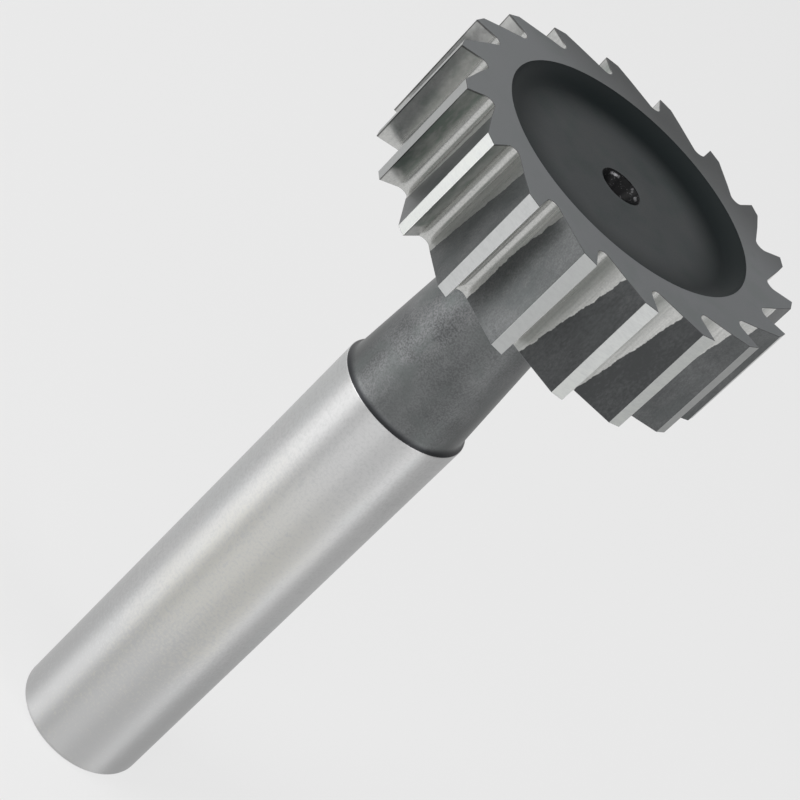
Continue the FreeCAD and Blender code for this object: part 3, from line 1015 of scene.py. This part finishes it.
@dataclass
class Cutter:
    """The whole cutter, built as one tooth's slice that geometry nodes repeat round the axis."""

    wheel: ToothedWheel
    shank: Shank
    neck: Neck
    recess: FaceRecess
    hole: CentreHole
    steps: int = 8
    weld: float = 0.002
    smooth_below: float = 24.0
    strip_seed: int = 8342
    tooth_light_seed: int = 141275
    land_seed: int = 5098985

    def lathe(self, profile: list[Point], zone: Zone) -> Sheet:
        """Return one slice of a turned surface, from its (radius, height) profile."""
        first = math.degrees(math.atan2(self.wheel.heel().y, self.wheel.heel().x))
        angles = spread(first, first - self.wheel.pitch, self.steps)
        rows = [[(*polar(radius, angle), height) for angle in angles] for radius, height in profile]
        return Sheet([[Vector(point) for point in row] for row in rows], zone)

    def ring(self, height: float, radius: float, zone: Zone) -> Sheet:
        """Return the flat ring between a circle and the teeth's outline, as one face."""
        outline, stations = self.wheel.row(height)
        circle = self.lathe([(radius, self.wheel.back_height + height)], zone).rows[0]
        rises = [(station.span, station.share) for station in stations] + [(0.0, 0.0)] * len(circle)
        return Sheet([outline + circle[::-1]], zone, None, [rises], height > 0, True)

    def sheets(self) -> list[Sheet]:
        """Return every patch of one slice of the cutter."""
        top = self.wheel.back_height + self.wheel.width
        floor = top - self.recess.depth
        neck = self.neck.profile()
        hole = self.hole.profile()
        upper_hole = [(radius, floor - depth) for radius, depth in hole]
        return [
            self.lathe(hole[::-1], Zone.CENTRE),
            self.lathe(self.shank.end_face(self.hole), Zone.SHANK),
            self.lathe(self.shank.profile(), Zone.SHANK),
            self.lathe(neck, Zone.NECK),
            self.ring(0.0, neck[-1][0], Zone.HEAD_BACK),
            *self.wheel.sheets(),
            self.ring(self.wheel.width, self.recess.mouth, Zone.FACE),
            self.lathe(self.recess.profile(self.hole), Zone.RECESS),
            self.lathe(upper_hole, Zone.CENTRE),
        ]

    def slice_mesh(self) -> bpy.types.Mesh:
        """Return the mesh of one slice, in metres, with its zones and spans."""
        points, faces, zones, spans, rises = [], [], [], [], []
        for sheet in self.sheets():
            start = len(points)
            points += [point * MM for row in sheet.rows for point in row]
            carried = sheet.rise or [[(0.0, 0.0)] * len(row) for row in sheet.rows]
            rises += [pair for row in carried for pair in row]
            width = len(sheet.rows[0])
            if sheet.flat:
                face = list(range(start, start + width))
                faces.append(face[::-1] if sheet.flip else face)
                zones.append(sheet.zone)
                spans.append([(0.0, 0.0)] * width)
                continue
            across = [pair for row in sheet.across or carried for pair in row]
            for row in range(len(sheet.rows) - 1):
                for column in range(width - 1):
                    lower = start + row * width + column
                    corners = [lower + 1, lower, lower + width, lower + width + 1]
                    face = self.without_doubles(corners, points)
                    faces.append(face)
                    zones.append(sheet.zone)
                    spans.append([across[corner - start] for corner in face])

        mesh = bpy.data.meshes.new("tooth_slice")
        mesh.from_pydata(points, [], faces)
        zone = mesh.attributes.new(Tag.ZONE.value, "INT", "FACE")
        zone.data.foreach_set("value", [int(value) for value in zones])
        layer = mesh.uv_layers.new(name=Tag.FLANK.value)
        layer.data.foreach_set("uv", [number for face in spans for pair in face for number in pair])
        for tag, column in ((Tag.RISE, 0), (Tag.SHARE, 1)):
            carried = mesh.attributes.new(tag.value, "FLOAT", "POINT")
            carried.data.foreach_set("value", [pair[column] for pair in rises])
        return mesh

    @staticmethod
    def without_doubles(face: list[int], points: list[Vector]) -> list[int]:
        """Return the face without corners that share a place, as at a pole."""
        kept = []
        for corner in face:
            if all((points[corner] - points[other]).length > SAME_PLACE for other in kept):
                kept.append(corner)
        return kept

    def sizes(self) -> dict[str, Union[int, float]]:
        """Return the values of the tree's named inputs. Whole numbers are its whole inputs."""
        wheel = self.wheel
        return {
            "Teeth": wheel.teeth,
            "Head Back": wheel.back_height * MM,
            "Head Width": wheel.width * MM,
            "Strip Front": wheel.strip_front,
            "Strip Fall": wheel.strip_fall,
            "Strip Least": wheel.strip_least,
            "Strip Jitter": wheel.strip_jitter,
            "Facet Slope": math.tan(math.radians(wheel.facet_slope)),
            "Cut Direction": math.radians(wheel.back_direction + 90),
            "Weld": self.weld * MM,
            "Strip Seed": self.strip_seed,
            "Tooth Light Seed": self.tooth_light_seed,
            "Land Seed": self.land_seed,
        }

    def tree(self, materials: dict[Zone, bpy.types.Material]) -> bpy.types.NodeTree:
        """Return the geometry tree that repeats the slice and cuts each tooth's ground strip.

        Args:
            materials: The material of each zone.

        Returns:
            The tree, with one named input for each size.
        """
        tree = bpy.data.node_groups.new("repeat_tooth_slice", "GeometryNodeTree")
        tree.interface.new_socket("Slice", in_out="INPUT", socket_type="NodeSocketGeometry")
        for name, value in self.sizes().items():
            kind = "NodeSocketInt" if isinstance(value, int) else "NodeSocketFloat"
            tree.interface.new_socket(name, in_out="INPUT", socket_type=kind)
        tree.interface.new_socket("Cutter", in_out="OUTPUT", socket_type="NodeSocketGeometry")
        bench = Bench(tree)
        given = bench.add("NodeGroupInput").output
        teeth = given("Teeth")

        index = bench.add("GeometryNodeInputIndex")
        turn = index * (-2 * math.pi) / teeth
        # Per-tooth random values: the ground strip's jitter, and the painted light and shade of the backs,
        # cutting faces and lands.
        jitter = self.random(bench, -1.0, index, given("Strip Seed"))
        thin = self.random(bench, 0.0, index, given("Tooth Light Seed"))
        bright = self.random(bench, 0.0, index, given("Land Seed"))
        strip = given("Strip Front") + jitter * given("Strip Jitter")

        points = bench.add("GeometryNodeMeshLine", {"Count": teeth, "Offset": (0.0, 0.0, 0.0)})
        carried = {Tag.TOOTH: index, Tag.STRIP: strip, Tag.TOOTH_LIGHT: thin, Tag.BRIGHT: bright}
        settings = {"data_type": "FLOAT", "domain": "POINT"}
        for tag, value in carried.items():
            inputs = {"Geometry": points, "Name": tag.value, "Value": value}
            points = bench.add("GeometryNodeStoreNamedAttribute", inputs, settings)
        inputs = {"Points": points, "Instance": given("Slice"), "Rotation": bench.join(Z=turn)}
        ring = bench.add("GeometryNodeInstanceOnPoints", inputs)
        solid = bench.add("GeometryNodeRealizeInstances", {"Geometry": ring})

        _, _, height = bench.parts(bench.add("GeometryNodeInputPosition"))
        level = (height - given("Head Back")) / given("Head Width")
        width = self.read(bench, Tag.STRIP) - (1.0 - level) * given("Strip Fall")
        width = width.at_least(given("Strip Least"))
        depth = (width - self.read(bench, Tag.RISE).at_least(0.0)).at_least(0.0)
        depth = depth * given("Facet Slope") * self.read(bench, Tag.SHARE) * MM
        tooth_turn = self.read(bench, Tag.TOOTH) * (-2 * math.pi) / teeth + given("Cut Direction")
        offset = bench.join(X=tooth_turn.cosine() * depth, Y=tooth_turn.sine() * depth)
        cut = bench.add("GeometryNodeSetPosition", {"Geometry": solid, "Offset": offset})
        whole = bench.add("GeometryNodeMergeByDistance", {"Geometry": cut, "Distance": given("Weld")})
        bench.add("NodeGroupOutput", {"Cutter": self.dress(bench, whole, materials)})
        return tree

    @staticmethod
    def random(bench: Bench, lowest: float, index: Signal, seed: Signal) -> Signal:
        """Return a random number from the lowest to 1 for each tooth."""
        inputs = {2: lowest, 3: 1.0, "ID": index, "Seed": seed}
        return bench.add("FunctionNodeRandomValue", inputs, {"data_type": "FLOAT"}, 1)

    @staticmethod
    def read(bench: Bench, tag: Tag, kind: str = "FLOAT") -> Signal:
        """Return a number that the mesh carries."""
        return bench.add("GeometryNodeInputNamedAttribute", {"Name": tag.value}, {"data_type": kind})

    @classmethod
    def dress(cls, bench: Bench, geometry: Signal, materials: dict[Zone, bpy.types.Material]) -> Signal:
        """Return the geometry with each zone's material set on its faces."""
        for zone, material in materials.items():
            chosen = cls.read(bench, Tag.ZONE, "INT").equals(float(zone))
            inputs = {"Geometry": geometry, "Selection": chosen, "Material": material}
            geometry = bench.add("GeometryNodeSetMaterial", inputs)
        return geometry

    def build(self, materials: dict[Zone, bpy.types.Material]) -> bpy.types.Object:
        """Return the cutter as one plain mesh object at the origin."""
        pattern = placed("slice_pattern", self.slice_mesh())
        modifier = pattern.modifiers.new("repeat", "NODES")
        modifier.node_group = self.tree(materials)
        sockets = {item.name: item.identifier for item in modifier.node_group.interface.items_tree}
        for name, value in self.sizes().items():
            modifier[sockets[name]] = value
        graph = bpy.context.evaluated_depsgraph_get()
        mesh = bpy.data.meshes.new_from_object(pattern.evaluated_get(graph))
        bpy.data.objects.remove(pattern)
        mesh.name = "cutter"
        mesh.polygons.foreach_set("use_smooth", [True] * len(mesh.polygons))
        mesh.set_sharp_from_angle(angle=math.radians(self.smooth_below))
        return placed("cutter", mesh)


# The studio


@dataclass(frozen=True)
class Softbox:
    """A soft rectangular lamp that faces the cutter. Its glow is 1 where it would look white."""

    name: str
    azimuth: float
    elevation: float
    distance: float
    width: float
    height: float
    glow: float

    def build(self, aim: Vector) -> None:
        """Place the lamp round the aim, azimuth 0 along X and 90 along Y."""
        lamp = bpy.data.lights.new(self.name, "AREA")
        lamp.shape = "RECTANGLE"
        lamp.size, lamp.size_y = self.width, self.height
        lamp.energy = self.glow * math.pi * self.width * self.height
        direction = Vector((*polar(math.cos(math.radians(self.elevation)), self.azimuth), 0.0))
        direction.z = math.sin(math.radians(self.elevation))
        thing = placed(self.name, lamp)
        thing.location = aim + direction * self.distance
        thing.rotation_mode = "QUATERNION"
        thing.rotation_quaternion = direction.to_track_quat("Z", "Y")
        thing.visible_camera = False


@dataclass(frozen=True)
class Viewpoint:
    """The photograph's camera, above the shank and rolled so that the cutter leans to the right."""

    place: tuple[float, float, float] = (1.231, -182.412, 143.393)
    heading: float = -0.462
    pitch: float = -28.486
    roll: float = 45.397
    lens: float = 118.71
    sensor_width: float = 36.0
    clip: Point = (0.01, 50.0)

    def build(self) -> None:
        """Create the camera and make it the scene's."""
        data = bpy.data.cameras.new("camera")
        data.sensor_width, data.lens = self.sensor_width, self.lens
        data.clip_start, data.clip_end = self.clip
        camera = placed("camera", data)
        heading, pitch = math.radians(self.heading), math.radians(self.pitch)
        level = math.cos(pitch)
        forward = Vector((math.sin(heading) * level, math.cos(heading) * level, math.sin(pitch)))
        camera.rotation_mode = "QUATERNION"
        turn = Quaternion((0.0, 0.0, 1.0), math.radians(self.roll))
        camera.rotation_quaternion = forward.to_track_quat("-Z", "Y") @ turn
        camera.location = Vector(self.place) * MM
        bpy.context.scene.camera = camera


@dataclass
class Studio:
    """A pale sweep, floor and wall in one with an open top, and soft lamps round the cutter."""

    background: float = 0.835
    background_share: float = 0.86
    sweep_colour: Colour = (0.8, 0.8, 0.8)
    room: float = 0.12
    reach: float = 3.0
    wall_height: float = 2.0
    bend: float = 0.5
    aim_height: float = 0.045
    lamps: tuple[Softbox, ...] = (
        Softbox("left_softbox", -151.0, 24.0, 0.6, 0.38, 0.7, 4.1),
        Softbox("left_reflector", -178.0, 24.0, 0.6, 0.21, 0.7, 0.8),
        Softbox("front_softbox", -92.0, 24.0, 0.6, 0.44, 0.7, 1.9),
        Softbox("right_reflector", -50.0, 24.0, 0.6, 0.42, 0.7, 0.9),
        Softbox("right_softbox", -19.0, 24.0, 0.6, 0.22, 0.7, 3.2),
        Softbox("back_reflector", 145.0, 24.0, 0.6, 0.62, 0.7, 0.8),
    )

    def build(self) -> None:
        """Make the sweep, the room and the lamps."""
        self.sweep()
        self.light_room()
        for lamp in self.lamps:
            lamp.build(Vector((0.0, 0.0, self.aim_height)))

    def seen_directly(self, bench: Bench) -> Signal:
        """Return 1 for what the camera, a mirror or glass shows, and 0 for light that bounces softly."""
        rays = bench.add("ShaderNodeLightPath", output="Is Camera Ray")
        return rays.at_least(rays.output("Is Glossy Ray")).at_least(rays.output("Is Transmission Ray"))

    def sweep(self) -> bpy.types.Object:
        """Return the floor and wall, pale to the eye and still holding the cutter's shadow."""
        bend = arc((self.reach - self.bend, self.bend), self.bend, -90, 0, 12)
        profile = [(0.0, 0.0), *bend, (self.reach, self.wall_height)]
        shell = bmesh.new()
        chain = [shell.verts.new((radius, 0.0, height)) for radius, height in profile]
        for first, second in zip(chain, chain[1:]):
            shell.edges.new((first, second))
        turn = {"axis": (0, 0, 1), "cent": (0, 0, 0), "angle": 2 * math.pi, "steps": 96}
        bmesh.ops.spin(shell, geom=shell.verts[:] + shell.edges[:], use_merge=True, **turn)
        bmesh.ops.remove_doubles(shell, verts=shell.verts, dist=1e-6)
        bmesh.ops.recalc_face_normals(shell, faces=shell.faces)
        mesh = bpy.data.meshes.new("sweep")
        shell.to_mesh(mesh)
        shell.free()
        mesh.materials.append(self.pale())
        return placed("sweep", mesh)

    def pale(self) -> bpy.types.Material:
        """Return the sweep's material."""
        material = bpy.data.materials.new("pale_sweep")
        bench = Bench.cleared(material)
        diffuse = bench.add("ShaderNodeBsdfDiffuse", {"Color": as_rgba(self.sweep_colour)})
        glow = bench.add("ShaderNodeEmission", {"Strength": self.background})
        share = self.seen_directly(bench) * self.background_share
        mixed = bench.add("ShaderNodeMixShader", {0: share, 1: diffuse, 2: glow})
        bench.add("ShaderNodeOutputMaterial", {"Surface": mixed})
        return material

    def light_room(self) -> None:
        """Light the room above the sweep evenly."""
        world = bpy.data.worlds.new("room")
        bench = Bench.cleared(world)
        glow = bench.add("ShaderNodeBackground", {"Strength": self.room})
        bench.add("ShaderNodeOutputWorld", {"Surface": glow})
        bpy.context.scene.world = world


def finishes() -> dict[Zone, bpy.types.Material]:
    """Return the material of each zone."""
    made = {
        Zone.SHANK: GroundShank(),
        Zone.NECK: NeckOxide(),
        Zone.HEAD_BACK: FaceOxide("back_oxide", grain_height=0.004),
        Zone.FACE: FaceOxide(),
        Zone.RECESS: RecessOxide(),
        Zone.CENTRE: CentreOxide(),
        Zone.FLANK: ToothFlank(),
        Zone.LAND: GroundLand(),
        Zone.EDGE: Oxide(),
    }
    return {zone: finish.make() for zone, finish in made.items()}


def main() -> None:
    """Build the studio and the cutter, and log the cutter's faces, open edges and volume."""
    logging.basicConfig(level=logging.INFO, format="%(name)s: %(message)s")
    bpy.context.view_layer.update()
    bpy.context.scene.view_settings.view_transform = "Standard"
    Viewpoint().build()
    Studio().build()

    cutter = Cutter(ToothedWheel(), Shank(), Neck(), FaceRecess(), CentreHole())
    piece = cutter.build(finishes())
    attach(piece, BODY)
    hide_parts(NODE)
    shell = bmesh.new()
    shell.from_mesh(piece.data)
    open_edges = sum(not edge.is_manifold for edge in shell.edges)
    volume = shell.calc_volume(signed=True) / MM**3
    shell.free()
    faces = len(piece.data.polygons)
    log.info("%s: %d faces, %d open edges, %.0f mm3", piece.name, faces, open_edges, volume)


if __name__ == "__main__":
    main()
